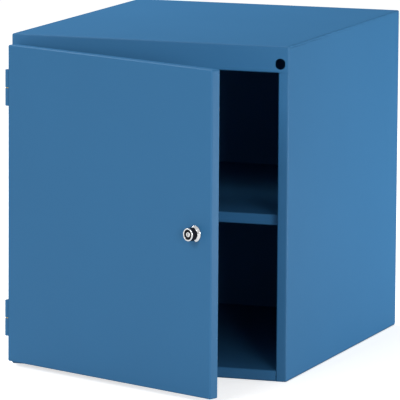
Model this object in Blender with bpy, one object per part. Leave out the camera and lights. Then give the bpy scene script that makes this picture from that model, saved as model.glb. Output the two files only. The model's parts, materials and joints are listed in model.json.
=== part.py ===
"""Under-bench cupboard: a folded steel carcass with one shelf and a left-hung lift-off door.

Units are metres, +Z is up, +X is to the right of someone who faces the door, +Y goes in.
Every mesh is drawn in the carcass frame with the door shut: x = 0 is the middle of the width,
y = 0 the middle of the depth and z = 0 the underside.  The root empty then lowers the whole
cupboard, so that the world origin is the middle of the top face, where a bench top meets it.
"""
import math

import bmesh
import bpy
from mathutils import Matrix, Vector

# Carcass
WIDTH = 0.450
DEPTH = 0.560
HEIGHT = 0.515
SHEET = 0.0012
BEND = 0.0025
FIT = 0.0003

# Front frame, folded from the top and the sides
RAIL = 0.0415
RAIL_RETURN = 0.015
RAIL_WRAP = 0.0035
JAMB = 0.0166
JAMB_RETURN = 0.008
TOP_LIP = 0.004
BACK_FLANGE = 0.015
FOOT_FLANGE = 0.030
RAIL_HOLE_DIAMETER = 0.017
RAIL_HOLE_FLATS = 0.0156
RAIL_HOLE_FROM_SIDE = 0.0137
RAIL_HOLE_FROM_TOP = 0.028

# Floor and shelf
SILL = 0.0165
SILL_RETURN = 0.012
FLOOR_FLANGE = 0.012
SHELF_TOP = 0.253
SHELF_LIP = 0.0165
SHELF_RETURN = 0.010
SHELF_SETBACK = 0.025
SHELF_SIDE_GAP = 0.0015
SHELF_BACK_GAP = 0.004
BEARER_LEG = 0.015
BEARER_SHEET = 0.0015
BEARER_FROM_FRONT = 0.040
BEARER_FROM_BACK = 0.040

# Door
DOOR_GAP = 0.003
DOOR_THICK = 0.017
DOOR_LIP = 0.014
DOOR_BELOW_TOP = 0.0153
DOOR_ABOVE_BOTTOM = 0.0068
DOOR_FREE_MARGIN = 0.0012
DOOR_OPEN = math.radians(25.6)
STIFFENER_WIDTH = 0.070
STIFFENER_BRIM = 0.014
STIFFENER_DEPTH = 0.012
STIFFENER_SLOPE = 0.003
STIFFENER_END_GAP = 0.020
BUFFER_DIAMETER = 0.009
BUFFER_FROM_EDGE = 0.0075
BUFFER_FROM_END = 0.060

# Hinges
HINGE_LENGTH = 0.056
HINGE_FROM_END = 0.039
HINGE_FORWARD = 0.0145
LEAF = 0.0018
LEAF_MARGIN = 0.001
PIN_DIAMETER = 0.005
PIN_INSET = 0.003
WASHER = 0.001
WASHER_INSET = 0.0006
ROLL_TURN = math.radians(300.0)

# Lock
LOCK_FROM_EDGE = 0.0334
LOCK_HEIGHT = 0.2527
ROSE_DIAMETER = 0.025
ROSE_THICK = 0.0042
ROSE_EDGE = 0.0008
HOUSING_DIAMETER = 0.017
SPINDLE_DIAMETER = 0.011
KNOB_DIAMETER = 0.020
KNOB_LENGTH = 0.0111
KNOB_EDGE = 0.0008
KNOB_RECESS_DIAMETER = 0.0148
KNOB_RECESS = 0.0045
KNOB_FLUTES = 12
KNOB_FLUTE = 0.0014
PLUG_DIAMETER = 0.0078
PLUG_LENGTH = 0.0095
PLUG_RECESS = 0.0008
KEY_SLOT_LENGTH = 0.0055
KEY_SLOT_WIDTH = 0.0016
KEY_SLOT_DEPTH = 0.006
NUT_ACROSS_FLATS = 0.022
NUT_THICK = 0.005
LOCK_WASHER_DIAMETER = 0.024
LOCK_WASHER = 0.001
CAM_CLEARANCE = 0.001
CAM_THICK = 0.002
CAM_WIDTH = 0.016
CAM_REACH = 0.0305
CAM_WASHER_DIAMETER = 0.012
SCREW_DIAMETER = 0.005
SCREW_HEAD_DIAMETER = 0.009
SCREW_HEAD = 0.003
SCREW_LENGTH = 0.010
SCREW_SLOT = 0.0012

# Facets of bends and round pieces
BEND_STEPS = 4
ROUND_STEPS = 32
SMALL_ROUND_STEPS = 20
ROLL_STEPS = 20
FLUTE_STEPS = 8
SMOOTH_ANGLE = math.radians(40.0)

# How far a cutter reaches past what it cuts, and how near two points count as one
MARGIN = 0.010
MERGE = 0.000001

# Places worked out from the sizes above
NEST = BEND - SHEET + FIT
LEFT = -WIDTH / 2
RIGHT = WIDTH / 2
FRONT = -DEPTH / 2
BACK = DEPTH / 2
KNUCKLE_RADIUS = PIN_DIAMETER / 2 + FIT + LEAF
HINGE_X = LEFT
HINGE_Y = FRONT - HINGE_FORWARD
DOOR_LEFT = HINGE_X + KNUCKLE_RADIUS + FIT
DOOR_RIGHT = RIGHT - DOOR_FREE_MARGIN
DOOR_BOTTOM = DOOR_ABOVE_BOTTOM
DOOR_TOP = HEIGHT - DOOR_BELOW_TOP
DOOR_BACK = FRONT - DOOR_GAP
DOOR_FACE = DOOR_BACK - DOOR_THICK
LOCK_X = DOOR_RIGHT - LOCK_FROM_EDGE
LOCK_LINE = (LOCK_X, 0.0, LOCK_HEIGHT)
ROSE_BACK = DOOR_FACE - FIT
ROSE_FRONT = ROSE_BACK - ROSE_THICK
KNOB_BACK = ROSE_FRONT - FIT
KNOB_FRONT = KNOB_BACK - KNOB_LENGTH
CAM_FRONT = FRONT + JAMB_RETURN + CAM_CLEARANCE
CAM_BACK = CAM_FRONT + CAM_THICK
CAM_HOLE = SCREW_DIAMETER / 2 + FIT


def clear_scene():
    """Removes every object, so that the model starts from an empty scene."""
    for item in list(bpy.data.objects):
        bpy.data.objects.remove(item, do_unlink=True)


def finish(name, colour, roughness, metallic):
    """Makes a plain finish from a colour, a roughness and a metallic value."""
    result = bpy.data.materials.new(name)
    result.use_nodes = True
    shader = result.node_tree.nodes["Principled BSDF"]
    shader.inputs["Base Color"].default_value = (*colour, 1.0)
    shader.inputs["Roughness"].default_value = roughness
    shader.inputs["Metallic"].default_value = metallic
    return result


def pivot(name, place, parent=None, angle=0.0):
    """Makes an empty at a place of the carcass frame, turned about the vertical."""
    empty = bpy.data.objects.new(name, None)
    bpy.context.collection.objects.link(empty)
    empty["place"] = place
    empty.parent = parent
    offset = Vector(parent["place"]) if parent else Vector()
    empty.location = Vector(place) - offset
    empty.rotation_euler.z = angle
    return empty


def solid(name, shape, material, parent, smooth=False):
    """Turns a bmesh drawn in the carcass frame into an object that hangs on a pivot."""
    bmesh.ops.recalc_face_normals(shape, faces=shape.faces)
    mesh = bpy.data.meshes.new(name)
    shape.to_mesh(mesh)
    shape.free()
    item = bpy.data.objects.new(name, mesh)
    bpy.context.collection.objects.link(item)
    item.parent = parent
    item.location = -Vector(parent["place"])
    if material:
        mesh.materials.append(material)
    if smooth:
        mesh.shade_smooth()
        mesh.set_sharp_from_angle(angle=SMOOTH_ANGLE)
    return item


def combine(target, operation, shape):
    """Cuts a shape from an object, or joins it on, with a Boolean modifier."""
    number = len(target.modifiers) + 1
    tool = solid(f"{target.name}_tool_{number}", shape, None, target.parent)
    tool.hide_render = True
    tool.display_type = "WIRE"
    modifier = target.modifiers.new(f"{operation}_{number}", "BOOLEAN")
    modifier.operation = operation
    modifier.solver = "EXACT"
    modifier.object = tool


def block(low, high, radius=0.0, open_side=None):
    """Draws a box; all edges are rounded except those of the open side, an (axis, end) pair."""
    shape = bmesh.new()
    low, high = Vector(low), Vector(high)
    size = high - low
    place = Matrix.Translation((low + high) / 2) @ Matrix.Diagonal((*size, 1.0))
    bmesh.ops.create_cube(shape, size=1.0, matrix=place)
    if radius > 0.0:
        edges = list(shape.edges)
        if open_side:
            axis, end = open_side
            level = low[axis] if end < 0 else high[axis]
            edges = [edge for edge in edges
                     if any(abs(vert.co[axis] - level) > size[axis] / 2 for vert in edge.verts)]
        bmesh.ops.bevel(shape, geom=edges, offset=radius, segments=BEND_STEPS, profile=0.5,
                        affect="EDGES", clamp_overlap=True)
    return shape


def tray(name, low, high, open_side, material, parent):
    """Folds a tray: a rounded block hollowed to one sheet thickness through its open side."""
    item = solid(name, block(low, high, BEND, open_side), material, parent)
    axis, end = open_side
    inner_low = Vector(low) + Vector((SHEET,) * 3)
    inner_high = Vector(high) - Vector((SHEET,) * 3)
    if end < 0:
        inner_low[axis] = low[axis] - MARGIN
    else:
        inner_high[axis] = high[axis] + MARGIN
    combine(item, "DIFFERENCE", block(inner_low, inner_high, BEND - SHEET, open_side))
    return item


def arc(centre, radius, start, turn, steps):
    """Gives the points of a 2-D arc from its start angle through its turn, both ends included."""
    angles = [start + turn * step / steps for step in range(steps + 1)]
    return [Vector(centre) + radius * Vector((math.cos(angle), math.sin(angle))) for angle in angles]


def offset_path(points, distance):
    """Shifts an open 2-D path to its left by a distance, with mitred corners."""
    result = []
    for index, point in enumerate(points):
        before = points[index] - points[index - 1] if index else None
        after = points[index + 1] - point if index + 1 < len(points) else None
        directions = [step.normalized() for step in (before, after) if step is not None]
        normals = [Vector((-step.y, step.x)) for step in directions]
        normal = sum(normals, Vector((0.0, 0.0))).normalized()
        result.append(point + normal * (distance / normal.dot(normals[0])))
    return result


def rounded_path(points, radius):
    """Replaces each inner corner of an open 2-D path with an arc."""
    result = [points[0]]
    for before, corner, after in zip(points, points[1:], points[2:]):
        arrive = (corner - before).normalized()
        leave = (after - corner).normalized()
        turn = arrive.angle_signed(leave)
        reach = radius * math.tan(abs(turn) / 2)
        start = corner - arrive * reach
        side = Vector((-arrive.y, arrive.x)) * math.copysign(radius, -turn)
        centre = start + side
        for step in range(BEND_STEPS + 1):
            result.append(centre + Matrix.Rotation(-turn * step / BEND_STEPS, 2) @ (start - centre))
    result.append(points[-1])
    return result


def strip_outline(middle, sheet):
    """Gives the closed outline of a sheet whose middle line is an open 2-D path."""
    return offset_path(middle, -sheet / 2) + offset_path(middle, sheet / 2)[::-1]


def folded(face, axis, start, end, sheet=SHEET):
    """Folds a sheet along its outer face, an open 2-D path with the sheet on its left.

    The profile lies across the axis: (y, z) across X, (x, z) across Y and (x, y) across Z.
    """
    middle = offset_path([Vector(point) for point in face], sheet / 2)
    return extruded(strip_outline(rounded_path(middle, BEND - sheet / 2), sheet), axis, start, end)


def extruded(outline, axis, start, end):
    """Draws a prism along an axis from a closed 2-D outline."""
    shape = bmesh.new()
    others = [index for index in range(3) if index != axis]
    verts = []
    for point in outline:
        place = Vector()
        place[others[0]], place[others[1]], place[axis] = point[0], point[1], start
        verts.append(shape.verts.new(place))
    face = shape.faces.new(verts)
    moved = bmesh.ops.extrude_face_region(shape, geom=[face])["geom"]
    travel = Vector()
    travel[axis] = end - start
    bmesh.ops.translate(shape, vec=travel,
                        verts=[item for item in moved if isinstance(item, bmesh.types.BMVert)])
    return shape


def turned(profile, axis, centre, steps=ROUND_STEPS, closed=True):
    """Turns a profile of (radius, position along the axis) pairs about an axis through a centre."""
    shape = bmesh.new()
    centre = Vector(centre)
    along = Vector()
    along[axis] = 1.0
    outward = Vector()
    outward[(axis + 1) % 3] = 1.0
    verts = [shape.verts.new(centre + outward * radius + along * place) for radius, place in profile]
    pairs = list(zip(verts, verts[1:]))
    if closed:
        pairs.append((verts[-1], verts[0]))
    edges = [shape.edges.new(pair) for pair in pairs]
    bmesh.ops.spin(shape, geom=verts + edges, cent=centre, axis=along, angle=math.tau,
                   steps=steps, use_merge=True)
    bmesh.ops.remove_doubles(shape, verts=shape.verts, dist=MERGE)
    return shape


def ring(outer, inner, axis, centre, start, end, steps=ROUND_STEPS):
    """Draws a round washer or tube from its two radii and its two ends."""
    return turned([(outer, start), (inner, start), (inner, end), (outer, end)], axis, centre, steps)


def rod(radius, axis, centre, start, end, steps=ROUND_STEPS, chamfer=0.0):
    """Draws a round bar, with chamfered ends where a chamfer is given."""
    profile = [(0.0, start), (radius - chamfer, start)]
    if chamfer > 0.0:
        profile += [(radius, start + chamfer), (radius, end - chamfer)]
    profile += [(radius - chamfer, end), (0.0, end)]
    return turned(profile, axis, centre, steps, closed=False)


def make_top_panel(paint, root):
    """Top sheet with a front rail that has a lock hole with two flats, and a short lip elsewhere."""
    corner = (LEFT, FRONT, HEIGHT - RAIL)
    panel = tray("top_panel", corner, (RIGHT, BACK, HEIGHT), (2, -1), paint, root)
    low = (LEFT - MARGIN, FRONT + RAIL_WRAP, HEIGHT - RAIL - MARGIN)
    high = (RIGHT + MARGIN, BACK + MARGIN, HEIGHT - TOP_LIP)
    combine(panel, "DIFFERENCE", block(low, high))
    inner = JAMB + FIT
    face = [(FRONT + RAIL_RETURN, HEIGHT - RAIL), (FRONT, HEIGHT - RAIL), (FRONT, HEIGHT - RAIL / 2)]
    notch_low = (LEFT + inner, FRONT - MARGIN, HEIGHT - RAIL - MARGIN)
    notch_high = (RIGHT - inner, FRONT + RAIL_WRAP, HEIGHT - RAIL + 2 * BEND)
    combine(panel, "DIFFERENCE", block(notch_low, notch_high))
    combine(panel, "UNION", folded(face[::-1], 0, LEFT + inner, RIGHT - inner))
    centre = (RIGHT - RAIL_HOLE_FROM_SIDE, HEIGHT - RAIL_HOLE_FROM_TOP)
    start = math.acos(RAIL_HOLE_FLATS / RAIL_HOLE_DIAMETER)
    turn = math.pi - 2 * start
    hole = arc(centre, RAIL_HOLE_DIAMETER / 2, start, turn, FLUTE_STEPS)
    hole += arc(centre, RAIL_HOLE_DIAMETER / 2, start + math.pi, turn, FLUTE_STEPS)
    combine(panel, "DIFFERENCE", extruded(hole, 1, FRONT - MARGIN, FRONT + BEND))


def make_side_panel(name, side, paint, root):
    """Side wall with the jamb, back flange and foot flange folded in; side is -1 left, +1 right."""
    wall_top = HEIGHT - TOP_LIP - FIT
    jamb_top = HEIGHT - RAIL - FIT
    foot_front = FRONT + max(JAMB_RETURN, SILL_RETURN) + FIT
    outer = side * WIDTH / 2

    def span(near, far, y_low, y_high, z_low, z_high):
        """Gives the corners of a box measured inwards from the outer face of this side."""
        ends = sorted((outer - side * near, outer - side * far))
        return (ends[0], y_low, z_low), (ends[1], y_high, z_high)

    low, high = span(0.0, FOOT_FLANGE, FRONT, BACK, 0.0, wall_top + MARGIN)
    panel = tray(name, low, high, (0, -side), paint, root)
    past = FOOT_FLANGE + MARGIN
    before = FRONT - MARGIN
    behind = BACK + MARGIN
    cuts = [
        span(-MARGIN, past, before, behind, wall_top, wall_top + 2 * MARGIN),
        span(-MARGIN, past, before, FRONT + RAIL_WRAP + FIT, jamb_top, wall_top + MARGIN),
        span(BACK_FLANGE, past, 0.0, behind, BEND, HEIGHT),
        span(JAMB - 2 * BEND, past, before, foot_front, -MARGIN, HEIGHT),
    ]
    for cut_low, cut_high in cuts:
        combine(panel, "DIFFERENCE", block(cut_low, cut_high))
    edge = outer - side * JAMB
    face = [(edge, FRONT + JAMB_RETURN), (edge, FRONT), (outer - side * 2 * BEND, FRONT)]
    if side < 0:
        face = face[::-1]
    combine(panel, "UNION", folded(face, 2, 0.0, jamb_top))


def make_base_panel(paint, root):
    """Floor with the sill folded down between the jambs and flanges under the other edges."""
    half_opening = WIDTH / 2 - JAMB - FIT
    half_floor = WIDTH / 2 - SHEET - FIT
    floor_back = BACK - 2 * SHEET - 2 * FIT
    foot = SHEET + FIT
    flange_end = max(SILL - FLOOR_FLANGE, foot)
    sill = [(FRONT + SILL_RETURN, 0.0), (FRONT, 0.0), (FRONT, SILL)]
    middle = sill + [(floor_back, SILL), (floor_back, flange_end)]
    right = [(half_floor, flange_end), (half_floor, SILL)]
    left = [(-x, z) for x, z in right[::-1]]
    panel = solid("base_panel", folded(middle[::-1], 0, -half_opening, half_opening), paint, root)
    wings = folded(right + left, 1, FRONT + JAMB_RETURN + FIT, floor_back - 2 * BEND)
    combine(panel, "UNION", wings)


def make_back_panel(paint, root):
    """Flat back inside the side panels' back flanges, with a flange under the top."""
    half = WIDTH / 2 - SHEET - NEST
    face_y = BACK - SHEET - FIT
    top = HEIGHT - SHEET - FIT
    face = [(face_y, SHEET + NEST), (face_y, top), (face_y - BACK_FLANGE, top)]
    solid("back_panel", folded(face, 0, -half, half), paint, root)


def make_shelf(paint, root):
    """Shelf tray with its lips down and the front lip turned back under the shelf."""
    half = WIDTH / 2 - SHEET - SHELF_SIDE_GAP
    front = FRONT + SHELF_SETBACK
    back = BACK - 2 * SHEET - 2 * FIT - SHELF_BACK_GAP
    bottom = SHELF_TOP - SHELF_LIP
    shelf = tray("shelf", (-half, front, bottom), (half, back, SHELF_TOP), (2, -1), paint, root)
    face = [(front, SHELF_TOP - SHELF_LIP / 2), (front, bottom), (front + SHELF_RETURN, bottom)]
    inner = half - BEARER_LEG - BEND
    notch_high = (inner, front + 2 * SHEET, bottom + 2 * BEND)
    combine(shelf, "DIFFERENCE", block((-inner, front - MARGIN, bottom - MARGIN), notch_high))
    combine(shelf, "UNION", folded(face, 0, -inner, inner))


def make_shelf_bearer(name, side, paint, root):
    """Angle on a side wall whose flat leg carries the shelf's side lip."""
    wall = side * (WIDTH / 2 - SHEET - FIT)
    top = SHELF_TOP - SHELF_LIP - FIT
    face = [(wall - side * BEARER_LEG, top), (wall, top), (wall, top - BEARER_LEG)]
    if side > 0:
        face = face[::-1]
    start = FRONT + BEARER_FROM_FRONT
    angle = folded(face, 1, start, BACK - BEARER_FROM_BACK, BEARER_SHEET)
    solid(name, angle, paint, root)


def hinge_leaf(lead):
    """Gives a leaf's outline: a straight or cranked lead that rolls round the pin."""
    roll = arc((HINGE_X, HINGE_Y), KNUCKLE_RADIUS - LEAF / 2, 0.0, -ROLL_TURN, ROLL_STEPS)
    return strip_outline(lead + roll, LEAF)


def make_hinge(level, bottom, zinc, brass, paint, root, door):
    """Lift-off hinge: lower half and pin on the frame, washer and upper half on the door."""
    half = (HINGE_LENGTH - WASHER - 2 * FIT) / 2
    upper = bottom + HINGE_LENGTH - half
    lead_x = HINGE_X + KNUCKLE_RADIUS - LEAF / 2
    jamb_y = FRONT - FIT - LEAF / 2
    crank = [Vector((LEFT + JAMB - LEAF_MARGIN, jamb_y)), Vector((lead_x, jamb_y)),
             Vector((lead_x, HINGE_Y + KNUCKLE_RADIUS))]
    straight = [Vector((lead_x, DOOR_BACK - LEAF_MARGIN))]
    frame_leaf = extruded(hinge_leaf(rounded_path(crank, LEAF)), 2, bottom, bottom + half)
    door_leaf = extruded(hinge_leaf(straight), 2, upper, upper + half)
    solid(f"{level}_hinge_frame_leaf", frame_leaf, paint, root, True)
    solid(f"{level}_hinge_door_leaf", door_leaf, paint, door, True)
    foot = (HINGE_X, HINGE_Y, bottom)
    pin_end = HINGE_LENGTH - PIN_INSET
    pin = rod(PIN_DIAMETER / 2, 2, foot, PIN_INSET, pin_end, SMALL_ROUND_STEPS, FIT)
    solid(f"{level}_hinge_pin", pin, zinc, root, True)
    seat = half + FIT
    hole = PIN_DIAMETER / 2 + FIT
    rim = KNUCKLE_RADIUS - WASHER_INSET
    washer = ring(rim, hole, 2, foot, seat, seat + WASHER, SMALL_ROUND_STEPS)
    solid(f"{level}_hinge_washer", washer, brass, door, True)


def make_door_panel(paint, door):
    """Door pan: a rounded hollow block whose back is cut out to leave a lip all round."""
    low = Vector((DOOR_LEFT, DOOR_FACE, DOOR_BOTTOM))
    high = Vector((DOOR_RIGHT, DOOR_BACK, DOOR_TOP))
    wall = Vector((SHEET,) * 3)
    lip = Vector((DOOR_LIP, 0.0, DOOR_LIP))
    panel = solid("door_panel", block(low, high, BEND), paint, door)
    combine(panel, "DIFFERENCE", block(low + wall, high - wall, BEND - SHEET))
    cut_low = low + lip
    cut_low.y = DOOR_BACK - BEND
    cut_high = high - lip
    cut_high.y = DOOR_BACK + MARGIN
    combine(panel, "DIFFERENCE", block(cut_low, cut_high))
    hole = rod(HOUSING_DIAMETER / 2 + FIT, 1, LOCK_LINE, DOOR_FACE - MARGIN, DOOR_FACE + BEND)
    combine(panel, "DIFFERENCE", hole)


def make_door_stiffener(paint, door):
    """Upright hat section in the middle of the door, its brims on the back of the face sheet."""
    middle = (DOOR_LEFT + DOOR_RIGHT) / 2
    brim_y = DOOR_FACE + SHEET + FIT + SHEET
    crown_y = brim_y + STIFFENER_DEPTH - SHEET
    crown = STIFFENER_WIDTH / 2 - STIFFENER_BRIM
    right = [(STIFFENER_WIDTH / 2, brim_y), (crown, brim_y), (crown - STIFFENER_SLOPE, crown_y)]
    left = [(-x, y) for x, y in right[::-1]]
    face = [(middle + x, y) for x, y in right + left]
    bottom = DOOR_BOTTOM + SHEET + STIFFENER_END_GAP
    top = DOOR_TOP - SHEET - STIFFENER_END_GAP
    solid("door_stiffener", folded(face, 2, bottom, top), paint, door)


def make_door_buffers(rubber, door):
    """Two rubber discs on the door's back lip that keep it off the right jamb."""
    x = DOOR_RIGHT - BUFFER_FROM_EDGE
    heights = {"lower": DOOR_BOTTOM + BUFFER_FROM_END, "upper": DOOR_TOP - BUFFER_FROM_END}
    front = DOOR_BACK + FIT
    back = FRONT - FIT
    for level, z in heights.items():
        disc = rod(BUFFER_DIAMETER / 2, 1, (x, 0.0, z), front, back, SMALL_ROUND_STEPS, FIT)
        solid(f"{level}_door_buffer", disc, rubber, door, True)


def make_lock_housing(chrome, zinc, door):
    """Conical rose and threaded housing through the door sheet, held by a washer and a nut."""
    bore = SPINDLE_DIAMETER / 2 + FIT
    rose = ROSE_DIAMETER / 2
    tube = HOUSING_DIAMETER / 2
    cone = ROSE_THICK - ROSE_EDGE
    end = CAM_FRONT - FIT
    profile = [(bore, ROSE_FRONT), (rose - cone, ROSE_FRONT), (rose, ROSE_FRONT + cone), (rose, ROSE_BACK),
               (tube, ROSE_BACK), (tube, end), (bore, end)]
    solid("lock_housing", turned(profile, 1, LOCK_LINE), chrome, door, True)
    hole = tube + FIT
    washer_front = DOOR_FACE + SHEET + FIT
    washer_back = washer_front + LOCK_WASHER
    washer = ring(LOCK_WASHER_DIAMETER / 2, hole, 1, LOCK_LINE, washer_front, washer_back)
    solid("lock_washer", washer, zinc, door, True)
    corner = NUT_ACROSS_FLATS / math.sqrt(3.0)
    hexagon = arc((LOCK_X, LOCK_HEIGHT), corner, 0.0, math.tau, 6)[:-1]
    nut_front = washer_back + FIT
    nut_back = nut_front + NUT_THICK
    nut = solid("lock_nut", extruded(hexagon, 1, nut_front, nut_back), zinc, door)
    combine(nut, "DIFFERENCE", rod(hole, 1, LOCK_LINE, nut_front - MARGIN, nut_back + MARGIN))


def make_lock_knob(chrome, knob):
    """Fluted knob with a recessed front, in one piece with the spindle that carries the cam."""
    spindle = SPINDLE_DIAMETER / 2
    rim = KNOB_DIAMETER / 2
    recess = KNOB_RECESS_DIAMETER / 2
    seat = PLUG_DIAMETER / 2 + FIT
    seat_end = KNOB_FRONT + PLUG_LENGTH
    floor = KNOB_FRONT + KNOB_RECESS
    end = CAM_FRONT - FIT
    profile = [(0.0, seat_end), (seat, seat_end), (seat, floor), (recess, floor), (recess, KNOB_FRONT),
               (rim - KNOB_EDGE, KNOB_FRONT), (rim, KNOB_FRONT + KNOB_EDGE), (rim, KNOB_BACK - KNOB_EDGE),
               (rim - KNOB_EDGE, KNOB_BACK), (spindle, KNOB_BACK), (spindle, end), (0.0, end)]
    body = solid("lock_knob", turned(profile, 1, LOCK_LINE, closed=False), chrome, knob, True)
    half_facet = math.pi / ROUND_STEPS
    flute_circle = rim + KNOB_FLUTE / 4
    for x, z in arc((LOCK_X, LOCK_HEIGHT), flute_circle, half_facet, math.tau, KNOB_FLUTES)[:-1]:
        flute = rod(KNOB_FLUTE, 1, (x, 0.0, z), KNOB_FRONT + 2 * KNOB_EDGE, ROSE_BACK, FLUTE_STEPS)
        combine(body, "DIFFERENCE", flute)
    hole = rod(CAM_HOLE, 1, LOCK_LINE, end - SCREW_LENGTH, end + MARGIN, SMALL_ROUND_STEPS)
    combine(body, "DIFFERENCE", hole)


def make_cam(zinc, knob):
    """Flat cam that points up when unlocked, with the washer and the screw that hold it."""
    half = CAM_WIDTH / 2
    tip = half / 2
    top = LOCK_HEIGHT + CAM_REACH
    outline = arc((LOCK_X, LOCK_HEIGHT), half, math.pi, math.pi, ROLL_STEPS)
    outline += [(LOCK_X + half, top - tip), (LOCK_X + half - tip, top)]
    outline += [(LOCK_X - half + tip, top), (LOCK_X - half, top - tip)]
    cam = solid("lock_cam", extruded(outline, 1, CAM_FRONT, CAM_BACK), zinc, knob)
    hole = rod(CAM_HOLE, 1, LOCK_LINE, CAM_FRONT - MARGIN, CAM_BACK + MARGIN, SMALL_ROUND_STEPS)
    combine(cam, "DIFFERENCE", hole)
    seat = CAM_BACK + FIT
    head = seat + LOCK_WASHER + FIT
    radius = CAM_WASHER_DIAMETER / 2
    washer = ring(radius, CAM_HOLE, 1, LOCK_LINE, seat, seat + LOCK_WASHER, SMALL_ROUND_STEPS)
    solid("cam_washer", washer, zinc, knob, True)
    shank = SCREW_DIAMETER / 2
    wide = SCREW_HEAD_DIAMETER / 2
    soft = SCREW_HEAD / 2
    start = CAM_FRONT - SCREW_LENGTH
    profile = [(0.0, start), (shank, start), (shank, head), (wide, head), (wide, head + soft),
               (wide - soft, head + SCREW_HEAD), (0.0, head + SCREW_HEAD)]
    screw = turned(profile, 1, LOCK_LINE, SMALL_ROUND_STEPS, False)
    screw = solid("cam_screw", screw, zinc, knob, True)
    slot_low = (LOCK_X - SCREW_SLOT / 2, head + soft, LOCK_HEIGHT - SCREW_HEAD_DIAMETER)
    slot_high = (LOCK_X + SCREW_SLOT / 2, head + MARGIN, LOCK_HEIGHT + SCREW_HEAD_DIAMETER)
    combine(screw, "DIFFERENCE", block(slot_low, slot_high))


def make_key_plug(chrome, plug):
    """Key plug that stands in the knob's recess, with an upright key slot."""
    start = KNOB_FRONT + PLUG_RECESS
    end = KNOB_FRONT + PLUG_LENGTH - FIT
    body = rod(PLUG_DIAMETER / 2, 1, LOCK_LINE, start, end, SMALL_ROUND_STEPS, FIT)
    item = solid("lock_key_plug", body, chrome, plug, True)
    half_width = KEY_SLOT_WIDTH / 2
    half_length = KEY_SLOT_LENGTH / 2
    slot_low = (LOCK_X - half_width, start - MARGIN, LOCK_HEIGHT - half_length)
    slot_high = (LOCK_X + half_width, start + KEY_SLOT_DEPTH, LOCK_HEIGHT + half_length)
    combine(item, "DIFFERENCE", block(slot_low, slot_high))


def main():
    """Builds the carcass, then the door on its hinge axis and the lock on its own axis."""
    clear_scene()
    paint = finish("blue_paint", (0.044, 0.150, 0.310), 0.42, 0.0)
    zinc = finish("zinc_plate", (0.55, 0.56, 0.57), 0.38, 1.0)
    chrome = finish("chrome_plate", (0.80, 0.80, 0.80), 0.12, 1.0)
    brass = finish("brass", (0.62, 0.47, 0.18), 0.35, 1.0)
    rubber = finish("black_rubber", (0.02, 0.02, 0.02), 0.75, 0.0)

    root = pivot("cupboard", (0.0, 0.0, 0.0))
    root.location.z = -HEIGHT
    door = pivot("door_axis", (HINGE_X, HINGE_Y, 0.0), root, -DOOR_OPEN)
    knob = pivot("knob_axis", (LOCK_X, DOOR_FACE, LOCK_HEIGHT), door)
    plug = pivot("plug_axis", (LOCK_X, DOOR_FACE, LOCK_HEIGHT), knob)

    make_top_panel(paint, root)
    for name, side in (("left", -1), ("right", 1)):
        make_side_panel(f"{name}_side_panel", side, paint, root)
        make_shelf_bearer(f"{name}_shelf_bearer", side, paint, root)
    make_base_panel(paint, root)
    make_back_panel(paint, root)
    make_shelf(paint, root)

    make_door_panel(paint, door)
    make_door_stiffener(paint, door)
    make_door_buffers(rubber, door)
    make_hinge("lower", DOOR_BOTTOM + HINGE_FROM_END, zinc, brass, paint, root, door)
    make_hinge("upper", DOOR_TOP - HINGE_FROM_END - HINGE_LENGTH, zinc, brass, paint, root, door)
    make_lock_housing(chrome, zinc, door)
    make_lock_knob(chrome, knob)
    make_cam(zinc, knob)
    make_key_plug(chrome, plug)


main()
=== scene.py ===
"""Dresses the under-bench cupboard: paint, plating and rubber, fine round pieces, light and camera.

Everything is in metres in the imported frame: +X to the right of someone who faces the door, +Y from
the door to the back, +Z up, and the origin in the middle of the top face.  Pieces of the door are
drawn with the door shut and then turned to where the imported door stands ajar.
"""
import json
import logging
import math
from abc import ABC, abstractmethod
from dataclasses import dataclass
from enum import Enum
from typing import Any

import bmesh
import bpy
import numpy as np
from mathutils import Matrix, Vector


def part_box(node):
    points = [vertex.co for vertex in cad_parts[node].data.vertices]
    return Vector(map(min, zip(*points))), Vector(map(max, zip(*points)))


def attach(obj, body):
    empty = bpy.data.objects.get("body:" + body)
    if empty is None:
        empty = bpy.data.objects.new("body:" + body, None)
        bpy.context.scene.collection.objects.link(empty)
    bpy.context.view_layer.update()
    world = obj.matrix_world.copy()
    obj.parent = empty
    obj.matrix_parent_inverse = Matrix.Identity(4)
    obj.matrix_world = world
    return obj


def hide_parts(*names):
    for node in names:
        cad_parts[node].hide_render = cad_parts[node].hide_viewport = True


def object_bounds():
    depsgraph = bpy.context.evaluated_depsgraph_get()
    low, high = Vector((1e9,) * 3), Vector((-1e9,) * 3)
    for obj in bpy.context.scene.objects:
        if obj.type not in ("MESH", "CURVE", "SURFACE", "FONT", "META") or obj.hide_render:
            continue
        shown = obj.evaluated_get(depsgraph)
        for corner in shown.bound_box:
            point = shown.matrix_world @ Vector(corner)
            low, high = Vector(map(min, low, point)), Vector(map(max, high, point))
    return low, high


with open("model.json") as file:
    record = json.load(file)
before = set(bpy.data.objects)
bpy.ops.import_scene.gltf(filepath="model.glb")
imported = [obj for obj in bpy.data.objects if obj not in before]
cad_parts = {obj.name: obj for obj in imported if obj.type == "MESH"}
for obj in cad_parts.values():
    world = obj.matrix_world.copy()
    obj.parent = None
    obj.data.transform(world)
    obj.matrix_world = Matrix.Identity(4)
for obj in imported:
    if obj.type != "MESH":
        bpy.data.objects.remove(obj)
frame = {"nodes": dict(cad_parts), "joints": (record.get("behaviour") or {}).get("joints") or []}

CAD_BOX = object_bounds()
LOG = logging.getLogger("cupboard")

Array = np.ndarray
Colour = tuple[float, float, float]
Point = tuple[float, float, float]

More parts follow.
